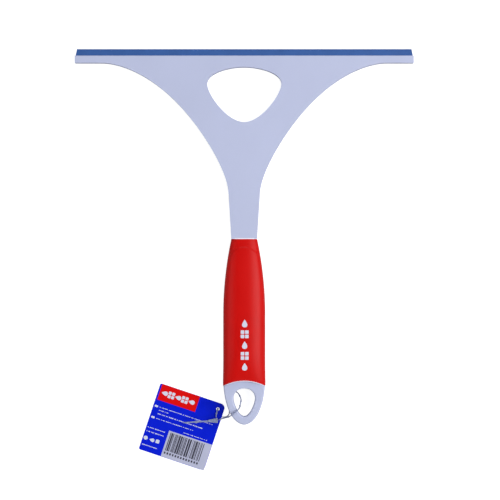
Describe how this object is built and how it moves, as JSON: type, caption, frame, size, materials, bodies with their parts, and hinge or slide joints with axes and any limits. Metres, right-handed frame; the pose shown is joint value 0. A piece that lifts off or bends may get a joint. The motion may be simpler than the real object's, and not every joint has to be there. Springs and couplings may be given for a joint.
{
  "type": "window cleaning squeegee",
  "caption": "Wide window squeegee with a rubber blade in a flat moulded head, a soft oval grip, a hanging eye and a tied card tag.",
  "frame": {"origin": "on the surface that the squeegee lies on, under the middle of its box without the tag and tie", "axes": "+X along the blade, +Y up the handle towards the blade, +Z out of the front face"},
  "size_m": [0.28, 0.3484, 0.022],
  "materials": {
    "pale_plastic": "satin moulded plastic, cool white",
    "blue_rubber": "smooth blue rubber",
    "red_soft_grip": "fine-grained red soft-touch rubber",
    "tag_card": "blue printed coated card",
    "clear_strap": "translucent moulded strap"
  },
  "bodies": {
    "squeegee": {"body_moulding": "pale_plastic", "grip_sleeve": "red_soft_grip", "tag_tie": "clear_strap", "tie_lock": "clear_strap"},
    "blade": {"rubber_blade": "blue_rubber"},
    "tag": {"hang_tag": "tag_card"}
  },
  "joints": [
    {"name": "blade_slide", "type": "slide", "parent": "squeegee", "child": "blade", "axis": [1, 0, 0], "range_m": [0, 0.27]},
    {"name": "tag_turn", "type": "hinge", "parent": "squeegee", "child": "tag", "pos_m": [-0.0219, -0.143, 0.0016], "axis": [0, 0, 1], "range_deg": [-40, 40]}
  ]
}
